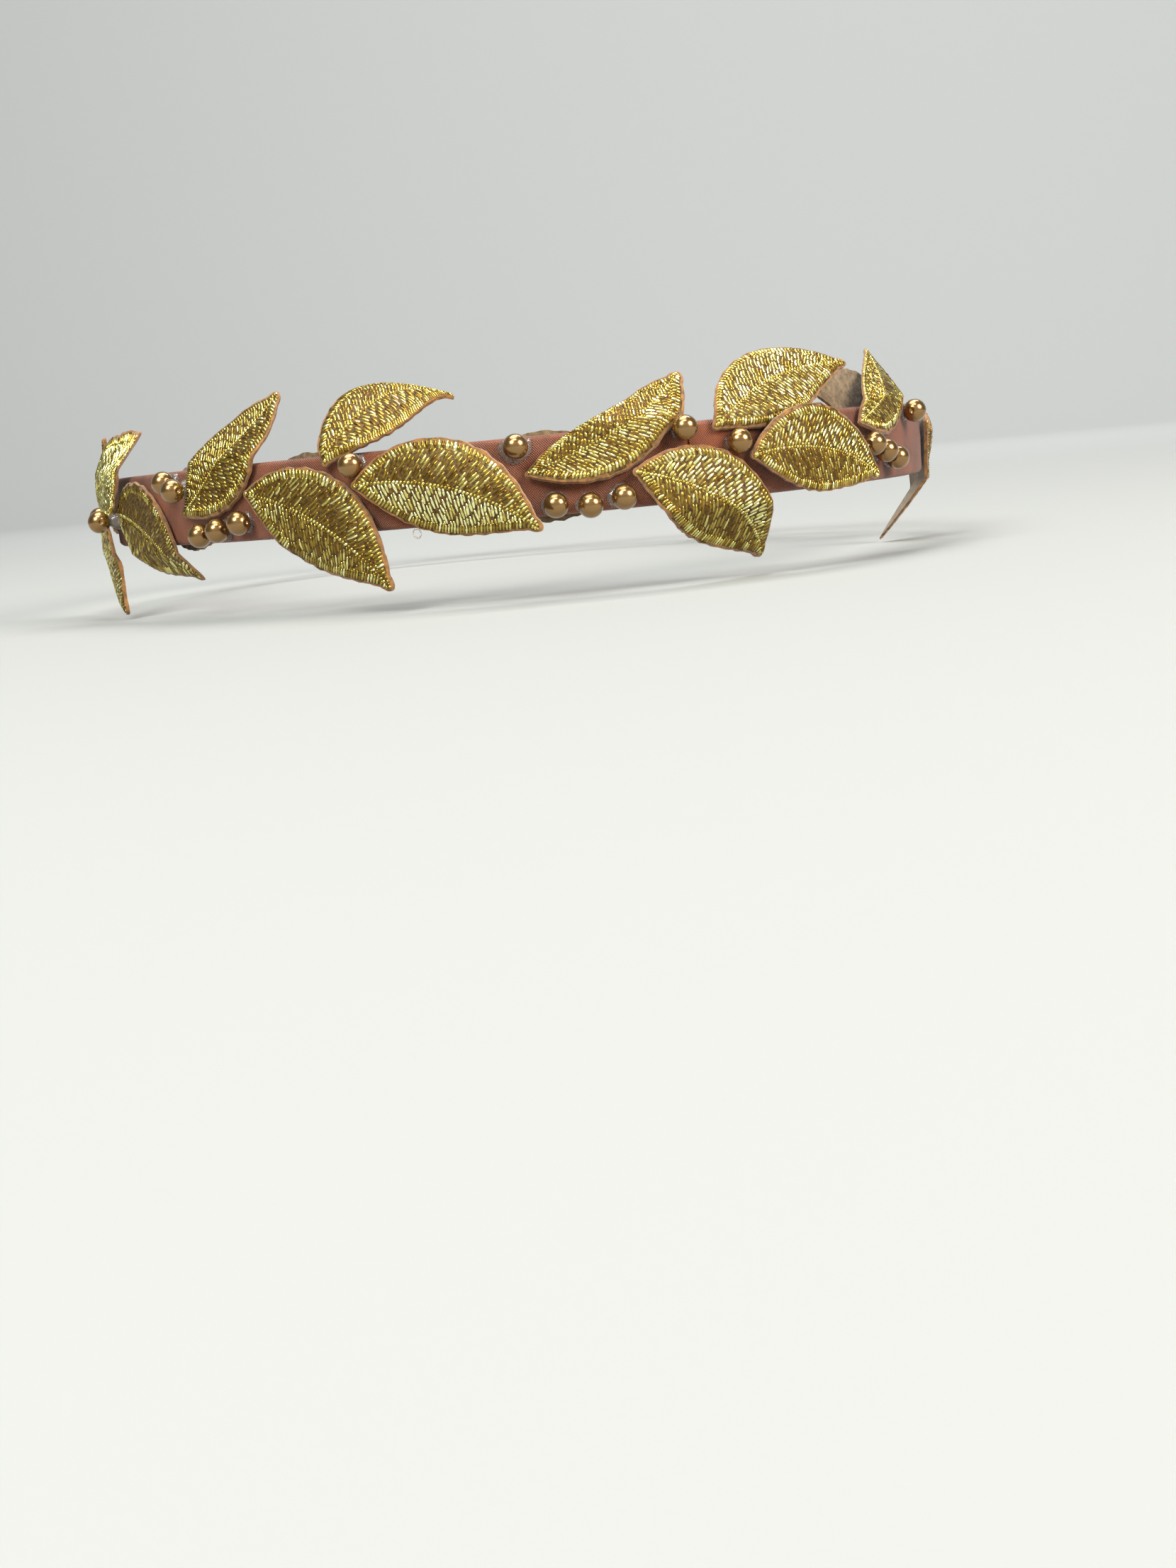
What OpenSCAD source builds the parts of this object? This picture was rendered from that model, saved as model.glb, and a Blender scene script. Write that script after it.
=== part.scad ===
// Laurel wreath crown: a stiff band covered in satin ribbon, gold embroidered
// leaves glued round its front and sides, and bronze pearl beads between them.
// Millimetres, Z up. The wearer looks toward -Y. The origin lies on the surface
// that the crown rests on, under the middle of the crown.

/* [Band] */
// Length of the opening, from forehead to back of the head
opening_length = 205; // [200:1:215]
// Width of the opening, from temple to temple
opening_width = 177; // [172:1:187]
// Height of the band
band_height = 15; // [14:0.5:18]
// Thickness of the band with its ribbon
band_wall = 2.5; // [2:0.25:3]

/* [Leaves] */
// Length of a leaf along its midrib
leaf_length = 39; // [36:0.5:40]
// Widest width of a leaf
leaf_width = 18; // [15:0.5:18.5]
// Thickness of a leaf: thread, felt and backing
leaf_thickness = 1.2; // [1:0.1:1.4]
// How far a leaf's midrib turns sideways from base to tip, degrees
leaf_turn = 42; // [38:1:44]
// Film of glue between a leaf or a bead and what it is glued to
glue_gap = 0.3; // [0.3:0.05:0.4]

/* [Beads] */
// Diameter of a bead
bead_diameter = 4.8; // [4:0.1:4.9]

/* [Hidden] */
half_x = opening_width / 2 + band_wall;
half_y = opening_length / 2 + band_wall;
band_segments = 144;
leaf_stations = 13;
leaf_columns = [-1, -0.67, -0.33, 0, 0.33, 0.67, 1];
base_power = 0.95;
tip_power = 1.1;
widest_at = base_power / (base_power + tip_power);
blunt_end = 0.09;
edge_slope = 0.8;
edge_margin = 1.5;
$fn = 48;

gold = "#C8B030";
dark_gold = "#8A7028";
copper = "#A05A40";
bronze = "#9A7A30";

// Leaves on the outside, from the wearer's right round the face to the left.
// A leaf starts at its base and runs toward the wearer's left.
//   distance base round the band from the middle of the face, in leaf lengths
//   height   base above the middle of the band, share of the band's height
//   stand    distance off the band, share of a leaf's thickness
//   heading  direction at the base, degrees above the run of the band
//   turn     side to which the midrib turns: 1 up, -1 down
//   lift     tilt of the tip away from the band, degrees
//   curl     bending toward the head from base to tip, degrees
//   lean     tilt of the leaf's plane over the head, degrees
//   cup      drop of the edges below the midrib, share of a leaf's width
//   length, width   shares of the named length and width
outer = [
    // distance, height, stand, heading, turn, lift, curl, lean, cup, length, width
    [-5.16,  0.00,  0.4,    5,   1,   0,  20,   0, 0.11, 1.00, 1.00],
    [-4.61, -0.30,  1.8,   -6,  -1,   0,  18,   0, 0.11, 1.00, 1.00],
    [-4.19,  0.32,  1.8,    0,   1,  10,  82,   0, 0.11, 0.82, 1.00],
    [-3.80,  0.00,  0.4,   -2,  -1,   0,  40,   0, 0.11, 1.00, 1.00],
    [-2.82, -0.10,  0.4,   32,   1,   0,  38,  20, 0.11, 0.93, 0.90],
    [-2.31,  0.12,  0.1,  -10,  -1,   0,  10,   0, 0.11, 1.04, 1.02],
    [-1.78,  0.37,  0.2,   67,  -1,   0,  96,  11, 0.11, 0.92, 0.88],
    [-1.62,  0.09,  1.5,    5,  -1,   0,   0,   0, 0.11, 1.04, 0.98],
    [-0.78,  0.03,  0.4,   17,   1,   0,   5,  40, 0.11, 0.96, 0.79],
    [-0.28, -0.05,  1.3,  -11,  -1,   0,  62,   0, 0.11, 0.98, 0.95],
    [ 0.15,  0.38,  0.3,   42,  -1,   0,  12,  27, 0.11, 1.00, 0.87],
    [ 0.31,  0.00,  1.9,   11,  -1,   0,  26,   0, 0.11, 0.94, 0.94],
    [ 1.12,  0.29,  0.4,   22,   1,   0,   6,  40, 0.14, 0.80, 0.84],
    [ 2.44,  0.24,  0.2,  -34,  -1,   8, 106,   0, 0.16, 1.04, 0.85],
    [ 2.83,  0.10,  1.9,   -4,  -1,   7,  16,   0, 0.16, 1.00, 1.00],
    [ 3.67,  0.00,  0.3,   -8,   1,   0,  24,   0, 0.11, 1.00, 1.00],
    [ 4.33, -0.05,  1.9,    8,  -1,   0,  26,   0, 0.11, 1.00, 1.00],
    [ 4.98,  0.00,  0.3,  -12,  -1,   0,  22,   0, 0.11, 1.00, 0.95]
];

// Leaves on the inside of the band. They run the other way and curl outward
// with the band.
inner = [
    // distance, height, stand, heading, turn, lift, curl, lean, cup, length, width
    [-2.56, -0.22,  0.1,   20,  -1,   0, -30,   0, 0.00, 0.92, 0.95],
    [-1.54, -0.20,  0.1,   20,  -1,   0, -30,   0, 0.00, 0.92, 0.95],
    [-0.24, -0.20,  0.1,   20,  -1,   0, -30,   0, 0.00, 0.92, 0.95],
    [ 1.67,  0.06,  0.1,   42,  -1,   0, -30,   0, 0.00, 0.80, 0.85],
    [ 2.11,  0.24,  1.7,  -20,   1,   0, -30,   0, 0.00, 0.90, 0.90]
];

// Beads: distance round the band in leaf lengths, height as share of the band's
// height, and stand off the band as share of a bead's diameter.
beads = [
    // distance, height, stand
    [-4.70, -0.06, 0.42],
    [-3.74, -0.10, 0.78],
    [-2.94,  0.36, 0.05],
    [-2.78,  0.24, 0.42],
    [-2.66, -0.38, 0.00],
    [-2.51, -0.33, 0.00],
    [-2.34, -0.25, 0.00],
    [-1.62,  0.35, 0.00],
    [-0.81,  0.39, 0.00],
    [-0.65, -0.37, 0.00],
    [-0.49, -0.41, 0.00],
    [-0.33, -0.35, 0.00],
    [-0.01,  0.43, 0.00],
    [ 0.27,  0.20, 0.00],
    [ 1.21,  0.00, 0.00],
    [ 1.33, -0.11, 0.00],
    [ 1.46, -0.22, 0.00],
    [ 1.78,  0.39, 0.00],
    [ 3.50,  0.38, 0.00]
];

// Point on an oval with the given half axes, and its outward and onward
// directions there
function oval(angle, x, y) = [x * sin(angle), -y * cos(angle), 0];
function unit(v) = v / norm(v);
function outward(angle) = unit([sin(angle) / half_x, -cos(angle) / half_y, 0]);
function onward(angle) = unit([half_x * cos(angle), half_y * sin(angle), 0]);

// Angle at a distance round the band's face, so that leaves and beads keep their
// spacing when the opening's size changes
arc_step = 5;
function arc_to(angle) = angle <= 0 ? 0 : arc_to(angle - arc_step)
    + norm(oval(angle, half_x, half_y) - oval(angle - arc_step, half_x, half_y));
arc_table = [for (angle = [0 : arc_step : 180]) [arc_to(angle), angle]];
function angle_at(distance) =
    sign(distance) * lookup(abs(distance) * leaf_length, arc_table);

// A leaf that meets the band lies on it: a point nearer than clear is moved off
// the band's face. Past the band's edge the leaf may come in again at a slope.
function off_band(p, side, x, y, clear) =
    let (
        angle = atan2(p[0] / x, -p[1] / y),
        face = outward(angle) * side,
        away = (p - oval(angle, x, y)) * face,
        past = max(0, abs(p[2]) - band_height / 2 - edge_margin)
    )
    p + face * max(0, clear - past * edge_slope - away);

// Half width of a leaf as a share of its widest, from base (0) to tip (1)
function raw_width(u) =
    pow(u / widest_at, base_power) * pow((1 - u) / (1 - widest_at), tip_power);
function width_share(u) = max(raw_width(u), blunt_end);

// Station along the midrib, closer together toward base and tip
function station(i) = (1 - cos(180 * i / leaf_stations)) / 2;

// A leaf lies flat first: its midrib is an arc that turns sideways by bend
function flat_x(u, v, long, wide, bend) =
    long / bend * 180 / PI * sin(bend * u) - v * wide / 2 * sin(bend * u);
function flat_y(u, v, long, wide, bend) =
    long / bend * 180 / PI * (1 - cos(bend * u)) + v * wide / 2 * cos(bend * u);

// Then it is bent round an axis across the leaf and set on the band
function bent(x, y, z, radius) =
    [(radius + z) * sin(x / radius * 180 / PI), y,
     (radius + z) * cos(x / radius * 180 / PI) - radius];

function leaf_points(row, side, x, y) =
    let (
        long = leaf_length * row[9],
        wide = leaf_width * row[10],
        bend = row[4] * leaf_turn,
        radius = long / (row[6] == 0 ? 0.5 : row[6]) * 180 / PI,
        angle = angle_at(row[0]),
        out = outward(angle) * side,
        run = onward(angle) * side,
        up = [0, 0, 1] * cos(row[7]) - out * sin(row[7]),
        face = out * cos(row[7]) + [0, 0, 1] * sin(row[7]),
        e1 = run * cos(row[3]) + up * sin(row[3]),
        e2 = up * cos(row[3]) - run * sin(row[3]),
        f1 = e1 * cos(row[5]) + face * sin(row[5]),
        f3 = face * cos(row[5]) - e1 * sin(row[5]),
        stand = glue_gap + leaf_thickness * row[2],
        foot = oval(angle, x, y) + out * (stand + leaf_thickness / 2)
            + [0, 0, row[1] * band_height]
    )
    [for (level = [0.5, -0.5], i = [0 : leaf_stations], v = leaf_columns)
        let (
            u = station(i),
            w = v * width_share(u),
            drop = -row[8] * leaf_width * w * w,
            p = bent(
                flat_x(u, w, long, wide, bend),
                flat_y(u, w, long, wide, bend),
                drop + level * leaf_thickness,
                radius
            )
        )
        off_band(foot + p[0] * f1 + p[1] * e2 + p[2] * f3, side, x, y,
            stand + leaf_thickness * (0.5 + level))
    ];

outer_points = [for (row = outer) leaf_points(row, 1, half_x, half_y)];
inner_points = [for (row = inner)
    leaf_points(row, -1, opening_width / 2, opening_length / 2)];

bead_centres = [for (row = beads)
    let (angle = angle_at(row[0]))
    oval(angle, half_x, half_y)
        + outward(angle) * (bead_diameter * (0.5 + row[2]) + glue_gap)
        + [0, 0, row[1] * band_height]];

// The crown rests on the lowest tip of its leaves, and the origin is under the
// middle of its bounding box
function low_end(axis) = min(
    min([for (leaf = outer_points) min([for (p = leaf) p[axis]])]),
    min([for (c = bead_centres) c[axis] - bead_diameter / 2]),
    axis == 0 ? -half_x : axis == 1 ? -half_y : -band_height / 2);
function high_end(axis) = max(
    max([for (leaf = outer_points) max([for (p = leaf) p[axis]])]),
    max([for (c = bead_centres) c[axis] + bead_diameter / 2]),
    axis == 0 ? half_x : axis == 1 ? half_y : band_height / 2);
place = [
    -(low_end(0) + high_end(0)) / 2,
    -(low_end(1) + high_end(1)) / 2,
    -low_end(2)
];

// Faces of a sheet of points: front, back, two long edges and two ends
columns = len(leaf_columns);
sheet = (leaf_stations + 1) * columns;
function cell(a, b, c, d) = [[a, b, c], [a, c, d]];
front_faces = [for (i = [0 : leaf_stations - 1], j = [0 : columns - 2])
    each cell(i * columns + j, i * columns + j + 1,
        (i + 1) * columns + j + 1, (i + 1) * columns + j)];
back_faces = [for (f = front_faces) [f[2] + sheet, f[1] + sheet, f[0] + sheet]];
low_faces = [for (i = [0 : leaf_stations - 1])
    each cell(i * columns, (i + 1) * columns,
        (i + 1) * columns + sheet, i * columns + sheet)];
high_faces = [for (i = [1 : leaf_stations])
    each cell(i * columns + columns - 1, (i - 1) * columns + columns - 1,
        (i - 1) * columns + columns - 1 + sheet, i * columns + columns - 1 + sheet)];
base_faces = [for (j = [0 : columns - 2])
    each cell(j + 1, j, j + sheet, j + 1 + sheet)];
tip_start = leaf_stations * columns;
tip_faces = [for (j = [0 : columns - 2])
    each cell(tip_start + j, tip_start + j + 1,
        tip_start + j + 1 + sheet, tip_start + j + sheet)];
leaf_faces = concat(front_faces, back_faces, low_faces, high_faces, base_faces, tip_faces);

module outer_leaf(number) {
    color(gold)
        translate(place)
            polyhedron(points = outer_points[number - 1], faces = leaf_faces, convexity = 4);
}

module inner_leaf(number) {
    color(dark_gold)
        translate(place)
            polyhedron(points = inner_points[number - 1], faces = leaf_faces, convexity = 4);
}

module bead(number) {
    color(bronze)
        translate(place + bead_centres[number - 1])
            sphere(d = bead_diameter);
}

function ring_outline(x, y) =
    [for (i = [0 : band_segments - 1])
        [x * sin(i * 360 / band_segments), y * cos(i * 360 / band_segments)]];

module band() {
    color(copper)
        translate(place - [0, 0, band_height / 2])
            linear_extrude(height = band_height)
                difference() {
                    polygon(ring_outline(half_x, half_y));
                    polygon(ring_outline(opening_width / 2, opening_length / 2));
                }
}

module leaf_01() { outer_leaf(1); }
module leaf_02() { outer_leaf(2); }
module leaf_03() { outer_leaf(3); }
module leaf_04() { outer_leaf(4); }
module leaf_05() { outer_leaf(5); }
module leaf_06() { outer_leaf(6); }
module leaf_07() { outer_leaf(7); }
module leaf_08() { outer_leaf(8); }
module leaf_09() { outer_leaf(9); }
module leaf_10() { outer_leaf(10); }
module leaf_11() { outer_leaf(11); }
module leaf_12() { outer_leaf(12); }
module leaf_13() { outer_leaf(13); }
module leaf_14() { outer_leaf(14); }
module leaf_15() { outer_leaf(15); }
module leaf_16() { outer_leaf(16); }
module leaf_17() { outer_leaf(17); }
module leaf_18() { outer_leaf(18); }

module inner_leaf_1() { inner_leaf(1); }
module inner_leaf_2() { inner_leaf(2); }
module inner_leaf_3() { inner_leaf(3); }
module inner_leaf_4() { inner_leaf(4); }
module inner_leaf_5() { inner_leaf(5); }

module bead_01() { bead(1); }
module bead_02() { bead(2); }
module bead_03() { bead(3); }
module bead_04() { bead(4); }
module bead_05() { bead(5); }
module bead_06() { bead(6); }
module bead_07() { bead(7); }
module bead_08() { bead(8); }
module bead_09() { bead(9); }
module bead_10() { bead(10); }
module bead_11() { bead(11); }
module bead_12() { bead(12); }
module bead_13() { bead(13); }
module bead_14() { bead(14); }
module bead_15() { bead(15); }
module bead_16() { bead(16); }
module bead_17() { bead(17); }
module bead_18() { bead(18); }
module bead_19() { bead(19); }

band();
leaf_01();
leaf_02();
leaf_03();
leaf_04();
leaf_05();
leaf_06();
leaf_07();
leaf_08();
leaf_09();
leaf_10();
leaf_11();
leaf_12();
leaf_13();
leaf_14();
leaf_15();
leaf_16();
leaf_17();
leaf_18();
inner_leaf_1();
inner_leaf_2();
inner_leaf_3();
inner_leaf_4();
inner_leaf_5();
bead_01();
bead_02();
bead_03();
bead_04();
bead_05();
bead_06();
bead_07();
bead_08();
bead_09();
bead_10();
bead_11();
bead_12();
bead_13();
bead_14();
bead_15();
bead_16();
bead_17();
bead_18();
bead_19();
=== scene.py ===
"""Laurel wreath crown: a ribbon covered band with gold embroidered leaves and pearl beads.

Metres, Z up. The wearer looks toward -Y. The crown stands on the floor at Z = 0.
"""

import math

import bpy
import numpy as np
from mathutils import Euler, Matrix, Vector


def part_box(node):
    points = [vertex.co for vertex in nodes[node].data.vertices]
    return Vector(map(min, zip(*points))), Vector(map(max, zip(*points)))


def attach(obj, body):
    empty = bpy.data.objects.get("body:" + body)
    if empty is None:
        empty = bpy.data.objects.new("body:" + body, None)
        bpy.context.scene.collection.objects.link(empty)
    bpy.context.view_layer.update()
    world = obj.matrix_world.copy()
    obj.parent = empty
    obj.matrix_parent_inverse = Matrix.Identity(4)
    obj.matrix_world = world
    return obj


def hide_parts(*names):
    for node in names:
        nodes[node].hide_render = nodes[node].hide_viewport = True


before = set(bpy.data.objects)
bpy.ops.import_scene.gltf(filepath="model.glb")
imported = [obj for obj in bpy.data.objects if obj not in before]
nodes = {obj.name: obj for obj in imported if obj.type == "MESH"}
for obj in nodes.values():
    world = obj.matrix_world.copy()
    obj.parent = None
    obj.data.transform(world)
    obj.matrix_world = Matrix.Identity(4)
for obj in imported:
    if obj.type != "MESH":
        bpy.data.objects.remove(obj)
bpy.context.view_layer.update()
bpy.ops.object.select_all(action="DESELECT")

MM = 0.001

# Sizes in millimetres
HALF_X = 91.0
HALF_Y = 105.0
BAND_WALL = 2.5
BAND_HEIGHT = 15.0
LEAF_LENGTH = 39.0
LEAF_WIDTH = 18.0
LEAF_THICKNESS = 1.2
LEAF_TURN = 42.0
GLUE_FILM = 0.3
BEAD_DIAMETER = 4.8
BASE_POWER = 0.95
TIP_POWER = 1.1
WIDEST_AT = BASE_POWER / (BASE_POWER + TIP_POWER)
EDGE_SLOPE = 0.8
EDGE_MARGIN = 1.5
SOFT_BEND = 1.0
# blunter tips widen over this stretch, in shares of the leaf's length
BLUNT_FROM = 0.7
BLUNT_RUN = 0.25

band_low, band_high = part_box("band")
BAND_MIDDLE = np.array((band_low + band_high) / 2) / MM

# Outer leaves: distance round the band in leaf lengths, height as share of the band's,
# stand off the band in leaf thicknesses, heading, turn, lift, curl, lean (degrees), cup,
# length and width shares, painted light and shade of the foil on the upper and the lower
# half-blade (how lit or shaded each half is, painted into the yarn's colour),
# how warm its gold is, and how much blunter than the pattern its tip is
LENGTH_SHARE, WIDTH_SHARE, UPPER_FOIL_PAINTED_LIGHT, LOWER_FOIL_PAINTED_LIGHT, WARMTH, BLUNTER = range(9, 15)
OUTER_LEAVES = [
    (-5.16, 0.00, 0.4, 5, 1, 0, 20, 0, 0.11, 1.00, 1.00, 0.5, 0.5, 0.2, 0),
    (-4.61, -0.30, 1.8, -6, -1, 0, 18, 0, 0.11, 1.00, 1.00, 0.6, 0.5, 0.2, 0),
    (-4.19, 0.32, 1.8, 0, 1, 10, 82, 0, 0.11, 0.82, 1.00, 0.8, 0.7, 0.1, 0.5),
    (-3.80, 0.00, 0.4, -2, -1, 0, 40, 0, 0.11, 1.00, 1.00, 0.1, 0.3, 0.1, 0),
    (-2.82, -0.10, 0.4, 32, 1, 0, 38, 20, 0.11, 0.93, 0.90, 0.55, 0.35, 0.1, 0.5),
    (-2.31, 0.12, 0.1, -10, -1, 0, 10, 0, 0.11, 1.04, 1.02, 0.3, 0.4, 0.1, 0),
    (-1.78, 0.37, 0.2, 67, -1, 0, 96, 11, 0.11, 0.92, 0.88, 0.5, 0.45, 0.4, 0),
    (-1.62, 0.09, 1.5, 5, -1, 0, 0, 0, 0.11, 1.04, 0.98, 0.25, 1.0, 0.1, 0),
    (-0.78, 0.03, 0.4, 17, 1, 0, 5, 40, 0.11, 0.96, 0.79, 0.4, 0.6, 0.15, 0.6),
    (-0.28, -0.05, 1.3, -11, -1, 0, 62, 0, 0.11, 0.98, 0.95, 0.75, 0.35, 0.15, 0),
    (0.15, 0.38, 0.3, 42, -1, 0, 12, 27, 0.11, 1.00, 0.87, 0.7, 0.65, 0.1, 0),
    (0.31, 0.00, 1.9, 11, -1, 0, 26, 0, 0.11, 0.94, 0.94, 0.6, 0.3, 0.3, 0.2),
    (1.12, 0.29, 0.4, 22, 1, 0, 6, 40, 0.14, 0.80, 0.84, 0.45, 0.4, 0.25, 0),
    (2.44, 0.24, 0.2, -34, -1, 8, 106, 0, 0.16, 1.04, 0.85, 0.6, 0.6, 0.5, 0.2),
    (2.83, 0.10, 1.9, -4, -1, 7, 16, 0, 0.16, 1.00, 1.00, 0.6, 0.5, 0.5, 0),
    (3.67, 0.00, 0.3, -8, 1, 0, 24, 0, 0.11, 1.00, 1.00, 0.5, 0.6, 0.3, 0),
    (4.33, -0.05, 1.9, 8, -1, 0, 26, 0, 0.11, 1.00, 1.00, 0.6, 0.5, 0.3, 0),
    (4.98, 0.00, 0.3, -12, -1, 0, 22, 0, 0.11, 1.00, 0.95, 0.5, 0.5, 0.3, 0),
]
INNER_LEAVES = [
    (-2.56, -0.22, 0.1, 20, -1, 0, -30, 0, 0.00, 0.92, 0.95, 0.5, 0.5, 0.3, 0),
    (-1.54, -0.20, 0.1, 20, -1, 0, -30, 0, 0.00, 0.92, 0.95, 0.5, 0.5, 0.3, 0),
    (-0.24, -0.20, 0.1, 20, -1, 0, -30, 0, 0.00, 0.92, 0.95, 0.5, 0.5, 0.3, 0),
    (1.74, 0.06, 0.1, 42, -1, 0, -30, 0, 0.00, 0.80, 0.70, 0.5, 0.5, 0.3, 0),
    (2.11, 0.24, 1.7, -20, 1, 0, -30, 0, 0.00, 0.90, 0.90, 0.5, 0.5, 0.3, 0),
]


# Where things sit on the band


def oval(angle, x, y):
    return np.array([x * math.sin(angle), -y * math.cos(angle), 0.0])


def outward(angle):
    v = np.array([math.sin(angle) / HALF_X, -math.cos(angle) / HALF_Y, 0.0])
    return v / np.linalg.norm(v)


def onward(angle):
    v = np.array([HALF_X * math.cos(angle), HALF_Y * math.sin(angle), 0.0])
    return v / np.linalg.norm(v)


def angle_at(distance):
    """Angle at a distance round the band's face, in leaf lengths."""
    steps = np.radians(np.arange(0, 181, 5.0))
    points = np.array([oval(a, HALF_X, HALF_Y) for a in steps])
    run = np.concatenate([[0], np.cumsum(np.linalg.norm(np.diff(points, axis=0), axis=1))])
    return math.copysign(np.interp(abs(distance) * LEAF_LENGTH, run, steps), distance)


def lay_on_band(flat, row, side, x, y):
    """Bends points of a flat patch (mm along, mm across, mm above its middle) as the leaf of
    this row is bent and glued on the band, and returns them in metres."""
    along, across, above = flat[:, 0], flat[:, 1], flat[:, 2]
    u, w = along / LEAF_LENGTH, across / (LEAF_WIDTH / 2)
    distance, height, stand_share, heading, turn, lift, curl, lean, cup = row[:9]
    long, wide = LEAF_LENGTH * row[LENGTH_SHARE], LEAF_WIDTH * row[WIDTH_SHARE]
    w = w * (1 + row[BLUNTER] * np.clip((u - BLUNT_FROM) / BLUNT_RUN, 0, 1))
    bend = math.radians(turn * LEAF_TURN)
    radius = long / math.radians(curl if curl else 0.5)
    angle = angle_at(distance)
    heading, lift, lean = (math.radians(v) for v in (heading, lift, lean))
    up_z = np.array([0.0, 0.0, 1.0])
    out, run = outward(angle) * side, onward(angle) * side
    up = up_z * math.cos(lean) - out * math.sin(lean)
    face = out * math.cos(lean) + up_z * math.sin(lean)
    e1 = run * math.cos(heading) + up * math.sin(heading)
    e2 = up * math.cos(heading) - run * math.sin(heading)
    f1 = e1 * math.cos(lift) + face * math.sin(lift)
    f3 = face * math.cos(lift) - e1 * math.sin(lift)
    stand = GLUE_FILM + LEAF_THICKNESS * stand_share
    foot = oval(angle, x, y) + out * (stand + LEAF_THICKNESS / 2) + up_z * height * BAND_HEIGHT
    flat_x = long / bend * np.sin(bend * u) - w * wide / 2 * np.sin(bend * u)
    flat_y = long / bend * (1 - np.cos(bend * u)) + w * wide / 2 * np.cos(bend * u)
    z = above - cup * LEAF_WIDTH * w * w
    x1 = (radius + z) * np.sin(flat_x / radius)
    z1 = (radius + z) * np.cos(flat_x / radius) - radius
    p = foot + x1[:, None] * f1 + flat_y[:, None] * e2 + z1[:, None] * f3
    around = np.arctan2(p[:, 0] / x, -p[:, 1] / y)
    normal = np.stack([np.sin(around) / HALF_X, -np.cos(around) / HALF_Y, 0 * around], 1)
    normal *= side / np.linalg.norm(normal, axis=1)[:, None]
    on_oval = np.stack([x * np.sin(around), -y * np.cos(around), 0 * around], 1)
    off = ((p - on_oval) * normal).sum(1)
    past = np.maximum(0, np.abs(p[:, 2]) - BAND_HEIGHT / 2 - EDGE_MARGIN)
    clear = stand + LEAF_THICKNESS / 2 + above
    # cloth rounds the band's edge softly
    near = clear - past * EDGE_SLOPE - off
    p += normal * (near / 2 + np.hypot(near / 2, SOFT_BEND / 2))[:, None]
    return (p + BAND_MIDDLE) * MM


# Materials


def rgb(code):
    """An sRGB hex colour as linear RGBA."""
    parts = [int(code[i : i + 2], 16) / 255 for i in (1, 3, 5)]
    return tuple(c / 12.92 if c <= 0.04045 else ((c + 0.055) / 1.055) ** 2.4 for c in parts) + (1,)


def add(tree, kind, links=None, **settings):
    """Adds a node, sets its sockets and settings, and links the given outputs to its inputs."""
    made = tree.nodes.new(kind)
    for name, value in settings.items():
        if name in made.inputs:
            made.inputs[name].default_value = value
        else:
            setattr(made, name, value)
    for name, output in (links or {}).items():
        tree.links.new(output, made.inputs[name])
    return made


def new_material(name, **skin_settings):
    made = bpy.data.materials.new(name)
    made.use_nodes = True
    skin = made.node_tree.nodes["Principled BSDF"]
    for socket, value in skin_settings.items():
        skin.inputs[socket.replace("_", " ")].default_value = value
    return made, made.node_tree, skin


def ramp(tree, value, stops):
    """A colour ramp over (position, colour) stops."""
    made = add(tree, "ShaderNodeValToRGB", {"Fac": value})
    marks = made.color_ramp.elements
    for mark, (position, code) in zip(marks, (stops[0], stops[-1])):
        mark.position = position
        mark.color = rgb(code)
    for position, code in stops[1:-1]:
        marks.new(position).color = rgb(code)
    return made.outputs["Color"]


def noise(tree, scale, detail):
    place = add(tree, "ShaderNodeTexCoord")
    made = add(
        tree, "ShaderNodeTexNoise", {"Vector": place.outputs["Object"]}, Scale=scale, Detail=detail
    )
    return made.outputs["Fac"]


# sockets of the mix node that carry colours
MIX_FIRST, MIX_SECOND, MIX_RESULT = 6, 7, 2


def mixed(tree, first, second, **settings):
    """A mix node over two colours."""
    made = add(tree, "ShaderNodeMix", data_type="RGBA", **settings)
    tree.links.new(first, made.inputs[MIX_FIRST])
    tree.links.new(second, made.inputs[MIX_SECOND])
    return made


def bump(tree, skin, height, strength, depth_mm):
    made = add(
        tree, "ShaderNodeBump", {"Height": height}, Strength=strength, Distance=depth_mm * MM
    )
    tree.links.new(made.outputs["Normal"], skin.inputs["Normal"])


def lurex_thread():
    """Gold foil yarn, slit metallised film wound round a polyester core. Each stitch is a tiny
    mirror, and its colour also carries painted light and shade, from deep olive brown to pale yellow."""
    made, tree, skin = new_material("gold foil embroidery yarn", Metallic=0.9, Roughness=0.23)
    tone = add(tree, "ShaderNodeAttribute", attribute_name="foil_tone_painted_light").outputs["Fac"]
    warmth = add(tree, "ShaderNodeAttribute", attribute_name="foil_warmth").outputs["Fac"]
    # the tone paints light and shade into the yarn's colour: pale yellow for painted glints and lit
    # half-blades, olive brown for painted shade
    olive = ramp(tree, tone, [(0.0, "#6A5018"), (0.4, "#A08838"), (0.7, "#D8D078"), (1.0, "#F6F8B8")])
    amber = ramp(tree, tone, [(0.0, "#74500F"), (0.4, "#B48A2A"), (0.7, "#E4C850"), (1.0, "#FAF29A")])
    gold = mixed(tree, olive, amber)
    tree.links.new(warmth, gold.inputs["Factor"])
    tree.links.new(gold.outputs[MIX_RESULT], skin.inputs["Base Color"])
    # the turns of foil round the core are taken to be 0.2 mm apart, which is too fine to
    # show: drawn as dents about 0.4 mm apart
    bump(tree, skin, noise(tree, 2500.0, 0.0), 0.25, 0.1)
    return made


def stitch_ground():
    """The under-stitching between the foil stitches: the same yarn lying deep and in shade, so
    dark brown gold with little shine."""
    made, tree, skin = new_material("gold yarn under-stitching", Metallic=0.5, Roughness=0.5)
    grain = noise(tree, 1800.0, 2.0)
    colour = ramp(tree, grain, [(0.35, "#3A280C"), (0.75, "#7C5A20")])
    tree.links.new(colour, skin.inputs["Base Color"])
    bump(tree, skin, grain, 0.6, 0.2)
    return made


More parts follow.
